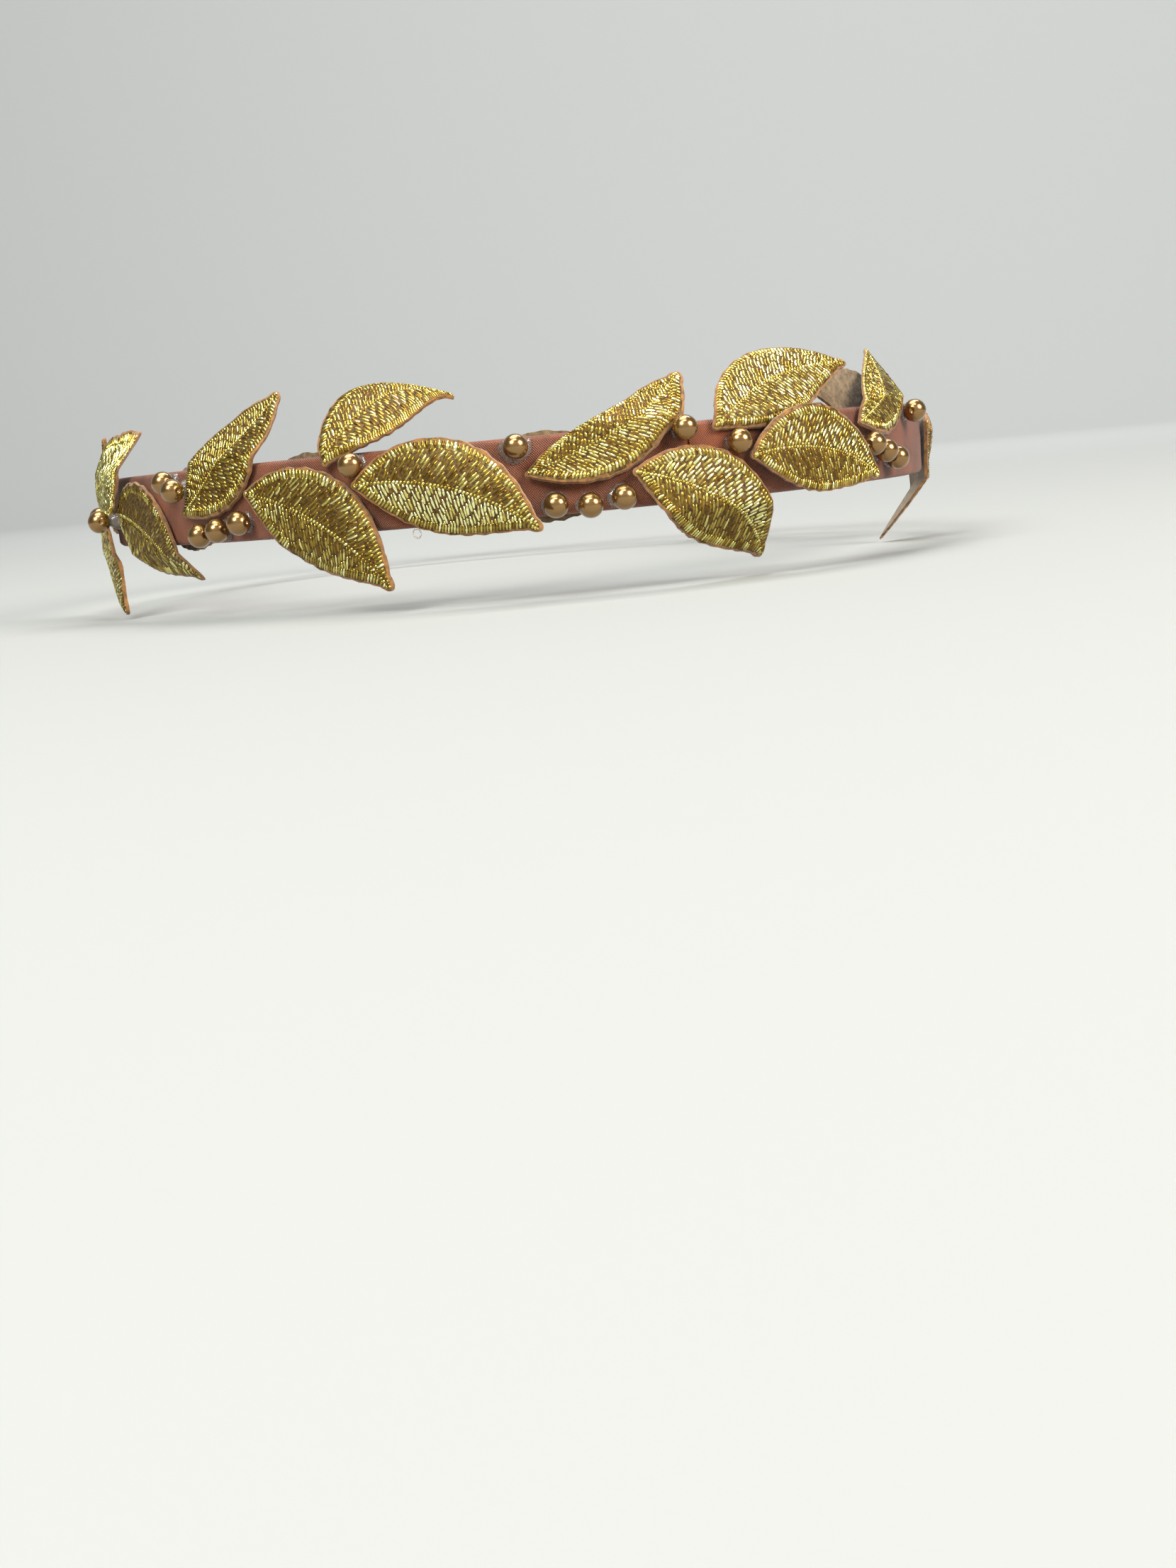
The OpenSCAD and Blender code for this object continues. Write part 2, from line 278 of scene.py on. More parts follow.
def felt_cloth(name, dark, light):
    """Polyester backing felt, fuzzy and quite matt, with a slight sheen on its fibres."""
    made, tree, skin = new_material(name, Roughness=0.9, Sheen_Weight=0.3)
    grain = noise(tree, 900.0, 4.0)
    tree.links.new(ramp(tree, grain, [(0.3, dark), (0.75, light)]), skin.inputs["Base Color"])
    bump(tree, skin, grain, 0.8, 0.3)
    return made


# the real threads are taken to be 0.2 mm apart, which is too fine to show: drawn at 0.5 mm
WEAVE_PITCH = 0.5


def copper_satin():
    """Woven polyester satin ribbon in copper. Its threads show as a fine grid close up, and the
    cloth has a soft broad shine."""
    made, tree, skin = new_material(
        "copper satin ribbon", Roughness=0.42, Sheen_Weight=0.1, Anisotropic=0.4
    )
    place = add(tree, "ShaderNodeUVMap", uv_map="ribbon_mm")
    parts = add(tree, "ShaderNodeSeparateXYZ", {"Vector": place.outputs["UV"]})
    turn = 2 * math.pi / WEAVE_PITCH
    waves = []
    for axis in ("X", "Y"):
        phase = add(tree, "ShaderNodeMath", {0: parts.outputs[axis]}, operation="MULTIPLY")
        phase.inputs[1].default_value = turn
        waves.append(add(tree, "ShaderNodeMath", {0: phase.outputs[0]}, operation="SINE"))
    grid = add(
        tree,
        "ShaderNodeMath",
        {0: waves[0].outputs[0], 1: waves[1].outputs[0]},
        operation="MULTIPLY",
    )
    shade = add(tree, "ShaderNodeMapRange", {"Value": grid.outputs[0]})
    shade.inputs["From Min"].default_value = -1.0
    shade.inputs["To Min"].default_value = 0.0
    # the weave's grid is painted light and shade: lighter on the raised threads, darker in the dips
    # between them
    weave = ramp(tree, shade.outputs["Result"], [(0.0, "#602812"), (1.0, "#A85E38")])
    # long faint darker and lighter places at random: painted shade on the cloth
    painted_shade_clouds = ramp(tree, noise(tree, 90.0, 3.0), [(0.3, "#A8A8A8"), (0.7, "#FFFFFF")])
    both = mixed(tree, weave, painted_shade_clouds, blend_type="MULTIPLY", Factor=1.0)
    tree.links.new(both.outputs[MIX_RESULT], skin.inputs["Base Color"])
    bump(tree, skin, grid.outputs[0], 0.7, 0.12)
    return made


def pearl_bronze():
    """Bead with a bronze pearl coat under clear lacquer: a dark mirror with a brown gold cast."""
    return new_material(
        "bronze pearl lacquer",
        Base_Color=rgb("#94703F"),
        Metallic=0.9,
        Roughness=0.24,
        Coat_Weight=0.8,
        Coat_Roughness=0.06,
    )[0]


def clear_glue():
    """Set hot melt glue: clear, a little milky, with a wet shine."""
    return new_material(
        "clear hot melt glue",
        Base_Color=rgb("#F4EEE6"),
        Transmission_Weight=0.9,
        Roughness=0.12,
        IOR=1.48,
    )[0]


def studio_paper():
    """Matt pale paper sweep, warm white."""
    return new_material("pale paper sweep", Base_Color=rgb("#969796"), Roughness=0.9)[0]


THREAD = lurex_thread()
GROUND = stitch_ground()
FELT = felt_cloth("brown felt backing", "#54422C", "#8C7452")
SINGED = felt_cloth("singed felt edge", "#5E4020", "#A06C30")
SATIN = copper_satin()
PEARL = pearl_bronze()
GLUE = clear_glue()
PAPER = studio_paper()


# Small helpers


def points_of(obj):
    co = np.empty(len(obj.data.vertices) * 3)
    obj.data.vertices.foreach_get("co", co)
    return co.reshape(-1, 3)


def move_points(obj, points):
    obj.data.vertices.foreach_set("co", np.asarray(points, float).ravel())
    obj.data.update()


def copy_of(obj, name):
    made = bpy.data.objects.new(name, obj.data.copy())
    made.data.name = name
    bpy.context.scene.collection.objects.link(made)
    return made


def only(obj):
    """Makes this the one selected and active object."""
    bpy.ops.object.select_all(action="DESELECT")
    obj.select_set(True)
    bpy.context.view_layer.objects.active = obj


def smooth(obj, degrees):
    only(obj)
    bpy.ops.object.shade_smooth_by_angle(angle=math.radians(degrees))
    obj.select_set(False)


def facing_out(obj):
    only(obj)
    bpy.ops.object.mode_set(mode="EDIT")
    bpy.ops.mesh.select_all(action="SELECT")
    bpy.ops.mesh.normals_make_consistent(inside=False)
    bpy.ops.object.mode_set(mode="OBJECT")
    obj.select_set(False)


def set_on(name, pattern, turn, place):
    """A copy of a small pattern piece, turned and moved in its mesh. Place in metres."""
    made = copy_of(pattern, name)
    move_points(made, points_of(made) @ np.array(turn).T + np.array(place))
    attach(made, "root")
    return made


# Band


RIBBON_THICKNESS = 0.25
BAND_ROUNDING = 1.0
UNDER_LAP = 0.45  # how deep the under edge lies below the edge lapped over it


def ribbon_path():
    """Section of the wrapped ribbon, from its under edge inside the band, round below, up the
    face and over the top to the edge that laps over the first: (inset, height) in mm."""
    half, r = BAND_HEIGHT / 2, BAND_ROUNDING
    path = [(BAND_WALL - UNDER_LAP, h) for h in (2.2, 0.8, -1.5, -4.0)]
    path.append((BAND_WALL, -5.2))
    corners = [(BAND_WALL - r, -half + r, 0), (r, -half + r, 90), (r, half - r, 180)]
    corners.append((BAND_WALL - r, half - r, 270))
    for number, (inset, height, start) in enumerate(corners):
        for step in range(5):
            a = math.radians(start + 22.5 * step)
            path.append((inset + r * math.cos(a), height - r * math.sin(a)))
        if number == 1:
            path += [(-0.12, -3.2), (-0.2, 0.0), (-0.12, 3.2)]
    path += [(BAND_WALL, h) for h in (5.2, 3.5, 1.8, 0.4, -1.0)]
    return path


def wrapped_ribbon():
    """One wide copper ribbon wrapped lengthwise round the stiff band, its edges lapped inside."""
    path = ribbon_path()
    bpy.ops.mesh.primitive_circle_add(vertices=288, radius=1.0)
    ribbon = bpy.context.object
    ribbon.name = "copper_ribbon"
    bpy.ops.object.mode_set(mode="EDIT")
    x, y = HALF_X - path[0][0], HALF_Y - path[0][0]
    bpy.ops.transform.resize(value=(x * MM, y * MM, 1))
    bpy.ops.transform.translate(value=(0, 0, path[0][1] * MM))
    for (_, height), (inset, to) in zip(path, path[1:]):
        bpy.ops.mesh.extrude_edges_move(
            TRANSFORM_OT_translate={"value": (0, 0, (to - height) * MM)}
        )
        nx, ny = HALF_X - inset, HALF_Y - inset
        bpy.ops.transform.resize(value=(nx / x, ny / y, 1))
        x, y = nx, ny
    bpy.ops.object.mode_set(mode="OBJECT")
    p = points_of(ribbon)
    angle = np.arctan2(p[:, 0] / HALF_X, -p[:, 1] / HALF_Y)
    # small puckers where the cloth was pulled round the curve
    pull = 0.10 * np.sin(angle * 61 + 1.3 * np.sin(angle * 7)) + 0.07 * np.sin(angle * 97 + 2)
    level = np.abs(p[:, 2]) / MM / (BAND_HEIGHT / 2)
    normal = np.stack([np.sin(angle) / HALF_X, -np.cos(angle) / HALF_Y, 0 * angle], 1)
    normal /= np.linalg.norm(normal, axis=1)[:, None]
    p += normal * (pull * np.clip(level, 0, 1) ** 3 * MM)[:, None]
    move_points(ribbon, p + BAND_MIDDLE * MM)
    mesh = ribbon.data
    steps = np.linalg.norm(np.diff(np.array(path), axis=0), axis=1)
    across = np.concatenate([[0], np.cumsum(steps)])
    uv = mesh.uv_layers.new(name="ribbon_mm")
    count = len(mesh.vertices) // len(path)
    for poly in mesh.polygons:
        rings = [v // count for v in poly.vertices]
        places = [angle[v] for v in poly.vertices]
        if max(places) - min(places) > math.pi:
            places = [a + 2 * math.pi if a < 0 else a for a in places]
        for loop, ring, a in zip(poly.loop_indices, rings, places):
            uv.data[loop].uv = (a * (HALF_X + HALF_Y) / 2, across[ring])
    facing_out(ribbon)
    cloth = ribbon.modifiers.new("cloth", "SOLIDIFY")
    cloth.thickness = RIBBON_THICKNESS * MM
    cloth.offset = -1
    only(ribbon)
    bpy.ops.object.modifier_apply(modifier=cloth.name)
    smooth(ribbon, 60)
    mesh.materials.append(SATIN)
    return ribbon, across[-1]


band, ribbon_width = wrapped_ribbon()
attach(band, "root")
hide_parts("band")


# Distance round the band, in leaf lengths, where the end of the ribbon is folded over, and
# the length and thickness of the fold in mm
RIBBON_END = 0.02
LAP_LENGTH = 12.0
LAP_THICKNESS = 0.3


def ribbon_end():
    """The end of the ribbon, laid over its beginning on the face of the band."""
    bpy.ops.mesh.primitive_grid_add(x_subdivisions=16, y_subdivisions=16, size=1)
    lap = bpy.context.object
    lap.name = "ribbon_lap"
    p = points_of(lap)
    uv = lap.data.uv_layers.new(name="ribbon_mm")
    for loop in lap.data.loops:
        x, y, _ = p[loop.vertex_index]
        uv.data[loop.index].uv = (x * LAP_LENGTH, y * BAND_HEIGHT)
    for i, (x, y, _) in enumerate(p):
        angle = angle_at(RIBBON_END + (x + 0.5) * LAP_LENGTH / LEAF_LENGTH + 0.01 * math.sin(5 * y))
        height = y * (BAND_HEIGHT - 1.6)
        # the fold at the free end is a little thicker
        stand = 0.46 + 0.12 * math.exp(-(((x + 0.5) * 8) ** 2)) - 0.2 * (2 * y) ** 2
        p[i] = oval(angle, HALF_X, HALF_Y) + outward(angle) * stand + [0, 0, height]
    move_points(lap, (p + BAND_MIDDLE) * MM)
    cloth = lap.modifiers.new("cloth", "SOLIDIFY")
    cloth.thickness = LAP_THICKNESS * MM
    cloth.offset = -1
    only(lap)
    bpy.ops.object.modifier_apply(modifier=cloth.name)
    facing_out(lap)
    smooth(lap, 60)
    lap.data.materials.append(SATIN)
    return lap


lap = ribbon_end()
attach(lap, "root")


# Leaves, flat first

FELT_MARGIN = 0.42  # bare felt outside the rim stitches
RIM_STITCH = 1.7
# rows of foil yarn a little under a millimetre apart, each stitch 2 to 3 mm long
YARN_PITCH = 0.82
YARN_WIDTH = 0.62
YARN_HEIGHT = 0.2
STITCH_LENGTH = 2.4
NEEDLE_GAP = 0.08
SHORTEST_STITCH = 0.35
STITCH_SUNK = 0.06  # how deep a stitch lies in the pad
RIM_OVERLAP = 0.35  # how far the fill runs in under the rim stitches
LEAN_AT_BASE = 68  # degrees between the rows and the midrib
LEAN_LOST = 14  # degrees fewer at the tip
ROW_SHIFT = 0.37  # how far each row is shifted against the last, in stitches
LEAST_HALF_WIDTH = 0.15
FELT_LOW = -0.55
FELT_HIGH = 0.1
PAD_TOP = 0.4
# rounded ends: length and half width of the half oval that ends the blade
TIP_OVAL = (3.4, 1.6)
BASE_OVAL = (1.2, 1.0)


def half_width(x):
    """Half width of the cut leaf in mm at x mm from its base, with a rounded base and tip."""
    x = np.asarray(x, float)
    u = np.clip(x / LEAF_LENGTH, 0, 1)
    blade = (u / WIDEST_AT) ** BASE_POWER * ((1 - u) / (1 - WIDEST_AT)) ** TIP_POWER
    width = blade * LEAF_WIDTH / 2
    for from_end, (length, half) in ((LEAF_LENGTH - x, TIP_OVAL), (x, BASE_OVAL)):
        width = np.maximum(width, half * np.sqrt(np.maximum(0, 1 - (1 - from_end / length) ** 2)))
    return width


CUT_X = LEAF_LENGTH * (1 - np.cos(np.linspace(0, np.pi, 240))) / 2
CUT_EDGE = np.stack([CUT_X, half_width(CUT_X)], 1)


def edge_distances(step):
    """Distance in mm from the cut edge over a grid of one half of the leaf, below zero
    outside it."""
    x, y = np.meshgrid(np.arange(0, LEAF_LENGTH, step), np.arange(0, 11, step), indexing="ij")
    gap = np.hypot(x[..., None] - CUT_EDGE[:, 0], y[..., None] - CUT_EDGE[:, 1]).min(-1)
    return np.where(y < half_width(x), gap, -gap)


GRID_STEP = 0.1
EDGE_DISTANCES = edge_distances(GRID_STEP)


def room(x, y):
    """Distance in mm from the cut edge, below zero outside it."""
    i = np.clip(np.rint(np.asarray(x) / GRID_STEP), 0, len(EDGE_DISTANCES) - 1).astype(int)
    j = np.rint(np.abs(y) / GRID_STEP).astype(int)
    return EDGE_DISTANCES[i, np.minimum(j, EDGE_DISTANCES.shape[1] - 1)]


def pad_height(x, y):
    """Height of the domed pad of under-stitching that carries the foil stitches."""
    inside = np.clip((room(x, y) - FELT_MARGIN * 0.7) / 0.8, 0, 1)
    return FELT_HIGH + (PAD_TOP - FELT_HIGH) * np.sqrt(inside * (2 - inside))


def felt_leaf():
    """One leaf of felt, cut flat: the outline with a domed pad of under-stitching on its face."""
    bpy.ops.mesh.primitive_grid_add(x_subdivisions=52, y_subdivisions=16, size=2)
    leaf = bpy.context.object
    leaf.name = "felt_leaf"
    p = points_of(leaf)
    p[:, 0] = LEAF_LENGTH * (1 - np.cos(np.pi * (p[:, 0] + 1) / 2)) / 2
    p[:, 1] = np.sin(p[:, 1] * math.pi / 2) * np.maximum(half_width(p[:, 0]), LEAST_HALF_WIDTH)
    p[:, 2] = pad_height(p[:, 0], p[:, 1])
    move_points(leaf, p)
    mesh = leaf.data
    for material in (GROUND, SINGED, FELT):
        mesh.materials.append(material)
    centres = np.array([poly.center for poly in mesh.polygons])
    bare = room(centres[:, 0], centres[:, 1]) < FELT_MARGIN
    mesh.polygons.foreach_set("material_index", bare.astype(int))
    bpy.ops.object.mode_set(mode="EDIT")
    bpy.ops.mesh.select_all(action="SELECT")
    bpy.ops.mesh.extrude_region_move(TRANSFORM_OT_translate={"value": (0, 0, 0)})
    bpy.ops.object.mode_set(mode="OBJECT")
    p = points_of(leaf)
    back = np.array([v.select for v in mesh.vertices])
    p[back, 2] = FELT_LOW
    move_points(leaf, p)
    for poly in mesh.polygons:
        low = [back[v] for v in poly.vertices]
        if all(low):
            poly.material_index = 2
        elif any(low):
            poly.material_index = 1
    facing_out(leaf)
    return leaf


def rice_grain():
    """One stitch as it stands out of the cloth: half a slim rounded rod, one long and one wide."""
    bpy.ops.mesh.primitive_uv_sphere_add(segments=6, ring_count=4, radius=1)
    grain = bpy.context.object
    grain.name = "stitch"
    bpy.ops.object.mode_set(mode="EDIT")
    bpy.ops.mesh.select_all(action="SELECT")
    bpy.ops.transform.rotate(
        value=math.radians(90), orient_axis="Y", center_override=(0, 0, 0)
    )
    bpy.ops.mesh.bisect(
        plane_co=(0, 0, 0), plane_no=(0, 0, 1), clear_inner=True, use_fill=False
    )
    bpy.ops.object.mode_set(mode="OBJECT")
    p = points_of(grain)
    p[:, 0] = np.where(np.abs(p[:, 0]) < 0.95, p[:, 0] * 1.15, p[:, 0]) / 2
    p[:, 1] /= 2 * np.abs(p[:, 1]).max()
    move_points(grain, p)
    return grain


FLAT_LEAF = felt_leaf()
STITCH = rice_grain()
STITCH_POINTS = points_of(STITCH)
STITCH_FACES = [list(f.vertices) for f in STITCH.data.polygons]


def fill_stitches(rng, painted_half_lights):
    """Rows of yarn laid from the midrib out to the rim, leaning toward the tip. The needle went
    in every 2 to 3 mm, and each row is shifted by over a third of a stitch."""
    rows = []
    reach = np.arange(0.3, 13, 0.12)
    # each half-blade's tone is painted light and shade: how lit or shaded that half is, painted into
    # the yarn's colour
    for side, tone in zip((1, -1), painted_half_lights):
        drift_x, drift_y, _ = rng.uniform(0, 6.3, 3)
        for number, start in enumerate(np.arange(-7.0, LEAF_LENGTH, YARN_PITCH)):
            lean = math.radians(LEAN_AT_BASE - LEAN_LOST * max(0.0, start) / LEAF_LENGTH)
            x, y = start + reach * math.cos(lean), reach * math.sin(lean)
            free = reach[room(x, y) > FELT_MARGIN + RIM_STITCH - RIM_OVERLAP]
            if len(free) < 5:
                continue
            first, last = free[0], free[-1]
            a = first - STITCH_LENGTH * ((number * ROW_SHIFT) % 1)
            while a < last - 0.3:
                b = a + STITCH_LENGTH * rng.uniform(0.85, 1.15)
                b = last if last - b < 0.4 else b
                low = max(a, first)
                a = b + NEEDLE_GAP
                if b - low < SHORTEST_STITCH:
                    continue
                x, y = start + (low + b) / 2 * math.cos(lean), (low + b) / 2 * math.sin(lean)
                # random patches of painted glint and painted shade in the foil's tone
                patch = math.sin(0.7 * x + drift_x) * math.sin(0.9 * y + drift_y)
                rows.append(
                    (
                        x + rng.normal(0, 0.08),
                        y * side,
                        b - low,
                        YARN_WIDTH * rng.uniform(0.7, 1.15),
                        YARN_HEIGHT * rng.uniform(0.8, 1.2),
                        side * lean + rng.normal(0, 0.08),
                        rng.normal(0, 0.06),
                        tone + 0.15 * patch + rng.normal(0, 0.22),
                    )
                )
    return rows


def rim_stitches(rng):
    """Satin stitch square to the cut edge, fanned round base and tip."""
    rows = []
    run = np.linalg.norm(np.diff(CUT_EDGE, axis=0), axis=1)
    run = np.concatenate([[0], np.cumsum(run)])
    for side in (1, -1):
        for s in np.arange(0.2, run[-1], YARN_PITCH * 0.88):
            x, y = np.interp(s, run, CUT_EDGE[:, 0]), np.interp(s, run, CUT_EDGE[:, 1])
            x2 = np.interp(s + 0.15, run, CUT_EDGE[:, 0])
            y2 = np.interp(s + 0.15, run, CUT_EDGE[:, 1])
            square = math.atan2(y2 - y, x2 - x) - math.radians(80)
            inset = FELT_MARGIN * rng.uniform(0.7, 1.2)
            # none crosses the midrib
            long = min(
                RIM_STITCH * rng.uniform(0.85, 1.15),
                (y - 0.05) / max(0.05, -math.sin(square)) - inset,
            )
            if long < SHORTEST_STITCH:
                continue
            m = inset + long / 2
            rows.append(
                (
                    x + m * math.cos(square),
                    (y + m * math.sin(square)) * side,
                    long,
                    YARN_WIDTH * rng.uniform(0.85, 1.1),
                    YARN_HEIGHT * rng.uniform(0.9, 1.3),
                    square * side,
                    rng.normal(0, 0.05),
                    # a middling painted light, with painted glints and painted shade at random
                    0.5 + rng.normal(0, 0.25),
                )
            )
    return rows


def midrib_stitches(rng):
    """Short slanting stitches over the seam of the two half-blades."""
    return [
        (
            x,
            0,
            0.85 * rng.uniform(0.85, 1.15),
            YARN_WIDTH * rng.uniform(0.85, 1.05),
            YARN_HEIGHT * rng.uniform(1.1, 1.3),
            math.radians(50) + rng.normal(0, 0.1),
            rng.normal(0, 0.07),
            # a middling painted light, with painted glints and painted shade at random
            0.55 + rng.normal(0, 0.2),
        )
        for x in np.arange(1.3, LEAF_LENGTH - 1.6, YARN_PITCH * 0.9)
    ]


def embroidery(name, row, side, x, y, rng):
    """The foil stitches of one leaf: each set on the flat pad, then bent with the leaf. A row
    is middle x, y, length, width, height, direction, tilt and tone; the tone is painted light
    and shade in the yarn's colour."""
    rows = fill_stitches(rng, (row[UPPER_FOIL_PAINTED_LIGHT], row[LOWER_FOIL_PAINTED_LIGHT]))
    rows = np.array(rows + rim_stitches(rng) + midrib_stitches(rng))
    n, k = len(rows), len(STITCH_POINTS)
    sx, sy, long, wide, tall, direction, tilt, tone = (rows[:, i][:, None] for i in range(8))
    gx = STITCH_POINTS[None, :, 0] * long
    gy = STITCH_POINTS[None, :, 1] * wide
    px = sx + gx * np.cos(direction) - gy * np.sin(direction)
    py = sy + gx * np.sin(direction) + gy * np.cos(direction)
    pz = pad_height(px, py) - STITCH_SUNK + STITCH_POINTS[None, :, 2] * tall + gx * tilt
    world = lay_on_band(np.stack([px, py, pz], 2).reshape(-1, 3), row, side, x, y)
    faces = [[v + start for v in f] for start in range(0, n * k, k) for f in STITCH_FACES]
    mesh = bpy.data.meshes.new(name)
    mesh.from_pydata(world.tolist(), [], faces)
    warmth = row[WARMTH] + rng.normal(0, 0.15, n)
    # the tone attribute paints light and shade into the yarn's colour
    for attribute, values in (("foil_tone_painted_light", rows[:, 7]), ("foil_warmth", warmth)):
        made = mesh.attributes.new(attribute, "FLOAT", "POINT")
        made.data.foreach_set("value", np.clip(np.repeat(values, k), 0, 1).astype(np.float32))
    mesh.polygons.foreach_set("use_smooth", [True] * len(mesh.polygons))
    mesh.materials.append(THREAD)
    mesh.update()
    made = bpy.data.objects.new(name, mesh)
    bpy.context.scene.collection.objects.link(made)
    return made


def cut_by_hand(points, rng):
    """Moves the edge of the flat felt a little: an uneven cut, with the embroidery off its
    middle."""
    wave_1, wave_2, _, _ = rng.uniform(0, 6.3, 4)
    side = np.sign(points[:, 1])
    width = np.maximum(half_width(points[:, 0]), LEAST_HALF_WIDTH)
    share = np.clip(np.abs(points[:, 1]) / width, 0, 1) ** 4
    uneven = 0.14 * np.sin(points[:, 0] * 1.7 + wave_1 + side)
    uneven = uneven + 0.07 * np.sin(points[:, 0] * 4.1 + wave_2 * side)
    ends = np.sin(np.pi * np.clip(points[:, 0] / LEAF_LENGTH, 0, 1)) ** 0.5
    points[:, 1] += share * ends * (uneven * side + rng.uniform(-0.3, 0.3))
    return points


def make_leaf(node, row, side, x, y, seed):
    rng = np.random.default_rng(seed)
    felt = copy_of(FLAT_LEAF, node + "_felt")
    move_points(felt, lay_on_band(cut_by_hand(points_of(felt), rng), row, side, x, y))
    smooth(felt, 50)
    stitches = embroidery(node + "_embroidery", row, side, x, y, rng)
    for piece, slot in ((felt, "felt_backing"), (stitches, "gold_embroidery")):
        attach(piece, "root")
    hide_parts(node)


for i, row in enumerate(OUTER_LEAVES):
    make_leaf(f"leaf_{i + 1:02d}", row, 1, HALF_X, HALF_Y, 100 + i)
for i, row in enumerate(INNER_LEAVES):
    make_leaf(
        f"inner_leaf_{i + 1}", row, -1, HALF_X - BAND_WALL, HALF_Y - BAND_WALL, 200 + i
    )
for spare in (FLAT_LEAF, STITCH):
    bpy.data.objects.remove(spare)


# Pearls and the glue that holds them


BEAD_HOLE = 0.45  # radius
HOLE_DEPTH = 0.5


def pearl():
    """A drilled pearl: a round bead with a small dimple at each end of its hole."""
    bpy.ops.mesh.primitive_uv_sphere_add(segments=48, ring_count=24, radius=BEAD_DIAMETER / 2 * MM)
    bead = bpy.context.object
    bead.name = "pearl"
    p = points_of(bead) / MM
    r = np.hypot(p[:, 0], p[:, 1])
    reach = np.sqrt(np.maximum(0, (BEAD_DIAMETER / 2) ** 2 - BEAD_HOLE**2))
    hole = r < BEAD_HOLE
    p[hole, 2] = np.sign(p[hole, 2]) * (reach - HOLE_DEPTH * (1 - r[hole] / BEAD_HOLE))
    move_points(bead, p * MM)
    bead.data.materials.append(PEARL)
    bead.data.polygons.foreach_set("use_smooth", [True] * len(bead.data.polygons))
    return bead


def glue_drop():
    """A drop of glue squeezed flat under a bead: a low round cushion, one across and one high."""
    bpy.ops.mesh.primitive_uv_sphere_add(segments=32, ring_count=12, radius=0.5)
    drop = bpy.context.object
    drop.name = "glue_drop"
    p = points_of(drop)
    lobes = np.arctan2(p[:, 1], p[:, 0])
    p[:, :2] *= (1 + 0.06 * np.sin(2 * lobes + 0.5) + 0.04 * np.sin(5 * lobes))[:, None]
    move_points(drop, p)
    drop.data.materials.append(GLUE)
    drop.data.polygons.foreach_set("use_smooth", [True] * len(drop.data.polygons))
    return drop


# Width of the glue round each bead's foot, mm
GLUE_WIDTHS = {"bead_08": 5.2, "bead_09": 6.6, "bead_10": 5.2, "bead_11": 5.0, "bead_12": 5.4}
USUAL_GLUE_WIDTH = 4.2
GLUE_CLIMB = 0.16  # how far the glue climbs the bead, in shares of its height
GLUE_EDGE = 0.4  # clear of the band's edges
PEARL_BEAD = pearl()
GLUE_DROP = glue_drop()
for name in sorted(n for n in nodes if n.startswith("bead_")):
    low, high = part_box(name)
    middle = np.array((low + high) / 2)
    rel = middle / MM - BAND_MIDDLE
    angle = math.atan2(rel[0] / HALF_X, -rel[1] / HALF_Y)
    hole_turn = Vector((0, 0, 1)).rotation_difference(Vector(onward(angle))).to_matrix()
    bead = set_on(name.replace("bead", "pearl"), PEARL_BEAD, hole_turn, middle)
    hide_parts(name)
    # the glue reaches from the ribbon to about a sixth of the bead's height
    out = outward(angle)
    foot = oval(angle, HALF_X, HALF_Y) + [0, 0, rel[2]]
    stand = float(np.dot(rel - foot, out)) - BEAD_DIAMETER / 2
    width = GLUE_WIDTHS.get(name, USUAL_GLUE_WIDTH)
    tall = stand + BEAD_DIAMETER * GLUE_CLIMB
    size = np.diag([width, width, 2 * tall]) * MM
    turn = np.array(Vector((0, 0, 1)).rotation_difference(Vector(out)).to_matrix()) @ size
    glue = set_on(name.replace("bead", "glue"), GLUE_DROP, turn, (foot + BAND_MIDDLE) * MM)
    # none of it stands over the band's edges
    p = points_of(glue)
    edge = BAND_HEIGHT / 2 - GLUE_EDGE
    p[:, 2] = np.clip(p[:, 2] / MM, BAND_MIDDLE[2] - edge, BAND_MIDDLE[2] + edge) * MM
    move_points(glue, p)
for spare in (PEARL_BEAD, GLUE_DROP):
    bpy.data.objects.remove(spare)


# Loose ends: a ring of yarn on one leaf and a loop of glue under another


def loop_of(name, material, across, thick, row, flat_place, tip):
    """A small round loop laid at a place on the flat leaf, tipped up by so many degrees."""
    bpy.ops.mesh.primitive_torus_add(
        major_radius=across / 2,
        minor_radius=thick / 2,
        major_segments=24,
        minor_segments=8,
        rotation=(math.radians(tip), 0, 0),
    )
    loop = bpy.context.object
    loop.name = name
    bpy.ops.object.transform_apply(location=True, rotation=True, scale=True)
    loop.data.materials.append(material)
    loop.data.polygons.foreach_set("use_smooth", [True] * len(loop.data.polygons))
    move_points(loop, lay_on_band(points_of(loop) + flat_place, row, 1, HALF_X, HALF_Y))
    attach(loop, "root")
    return loop


loop_of("yarn_ring", THREAD, 1.7, 0.28, OUTER_LEAVES[8], [3.4, -0.9, 0.75], 12)
loop_of("glue_loop", GLUE, 1.8, 0.3, OUTER_LEAVES[7], [13.0, -9.6, -0.2], 0)


# Studio


# metres
SWEEP_RADIUS = 3.4
SWEEP_RISE = 3
SWEEP_CURVE = 1.3
FLOOR_GAP = 0.0002


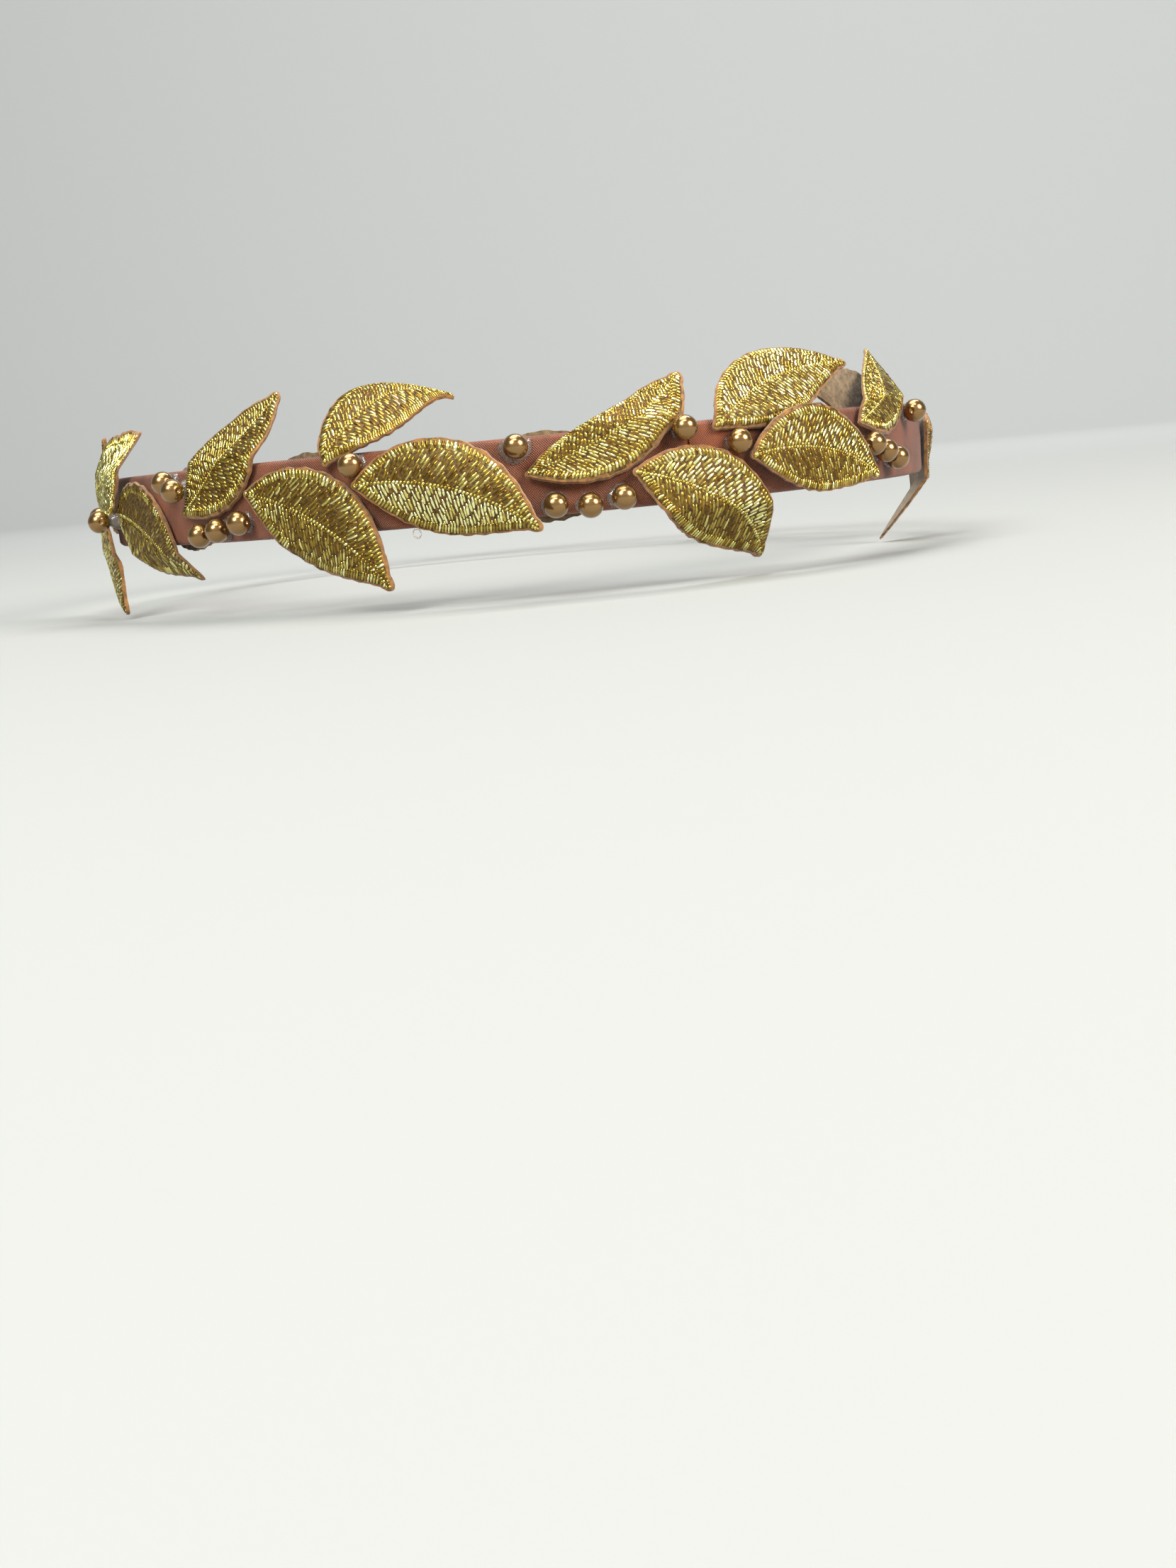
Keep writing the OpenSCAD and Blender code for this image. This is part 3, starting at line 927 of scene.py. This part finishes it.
def paper_sweep():
    """Round floor of paper that curves up all round the crown."""
    bpy.ops.mesh.primitive_circle_add(vertices=96, radius=SWEEP_RADIUS, fill_type="NGON")
    sweep = bpy.context.object
    sweep.name = "paper_floor"
    mesh = sweep.data
    bpy.ops.object.mode_set(mode="EDIT")
    bpy.ops.mesh.select_all(action="SELECT")
    bpy.ops.mesh.extrude_edges_move(TRANSFORM_OT_translate={"value": (0, 0, SWEEP_RISE)})
    bpy.ops.mesh.select_all(action="DESELECT")
    bpy.ops.object.mode_set(mode="OBJECT")
    for vertex in mesh.vertices:
        vertex.select = vertex.co.z < 0.01
    for edge in mesh.edges:
        edge.select = all(mesh.vertices[v].select for v in edge.vertices)
    bpy.ops.object.mode_set(mode="EDIT")
    bpy.ops.mesh.bevel(offset=SWEEP_CURVE, segments=20)
    bpy.ops.object.mode_set(mode="OBJECT")
    mesh.polygons.foreach_set("use_smooth", [True] * len(mesh.polygons))
    move_points(sweep, points_of(sweep) - [0, 0, FLOOR_GAP])
    mesh.materials.append(PAPER)


paper_sweep()


def lamp(name, place, aim, size, power, colour):
    data = bpy.data.lights.new(name, "AREA")
    data.shape = "DISK"
    data.size = size
    data.energy = power
    data.color = rgb(colour)[:3]
    made = bpy.data.objects.new(name, data)
    made.location = place
    made.rotation_mode = "QUATERNION"
    made.rotation_quaternion = (Vector(aim) - Vector(place)).to_track_quat("-Z", "Y")
    bpy.context.scene.collection.objects.link(made)


aim = (0.0, 0.0, 0.02)
lamp("key_lamp", (0.56, -0.91, 0.56), aim, 0.6, 16.0, "#FFFAF2")
lamp("top_softbox", (-0.1, 0.1, 1.2), aim, 0.9, 11.0, "#FFFDF8")
lamp("left_window", (-0.9, -0.7, 0.9), aim, 0.6, 17.0, "#F8FFF4")
lamp("backdrop_lamp", (0.8, 0.8, 2.2), (1.1, 3.2, 0.7), 1.6, 125.0, "#FFFFFF")
lamp("second_backdrop_lamp", (-0.6, -1.2, 2.4), (-1.0, -3.2, 0.7), 1.6, 110.0, "#FFFFFF")

world = bpy.data.worlds.new("studio")
world.use_nodes = True
world.node_tree.nodes["Background"].inputs["Color"].default_value = rgb("#C8CCD0")
world.node_tree.nodes["Background"].inputs["Strength"].default_value = 0.25
bpy.context.scene.world = world
bpy.context.scene.view_settings.view_transform = "Standard"

# where the photo was taken from, from the middle of the band, and how the camera was turned
CAMERA_PLACE = (-0.15566, -0.47908, 0.0035)
CAMERA_TURN = (81.14, 5.34, -20.06)
camera_data = bpy.data.cameras.new("photo_camera")
camera_data.sensor_width = 36.0
camera_data.sensor_fit = "AUTO"
camera_data.lens = 48.82
camera_data.clip_start = 0.01
camera = bpy.data.objects.new("photo_camera", camera_data)
camera.location = Vector(CAMERA_PLACE) + Vector(BAND_MIDDLE * MM)
camera.rotation_euler = Euler([math.radians(a) for a in CAMERA_TURN], "XYZ")
bpy.context.scene.collection.objects.link(camera)
bpy.context.scene.camera = camera
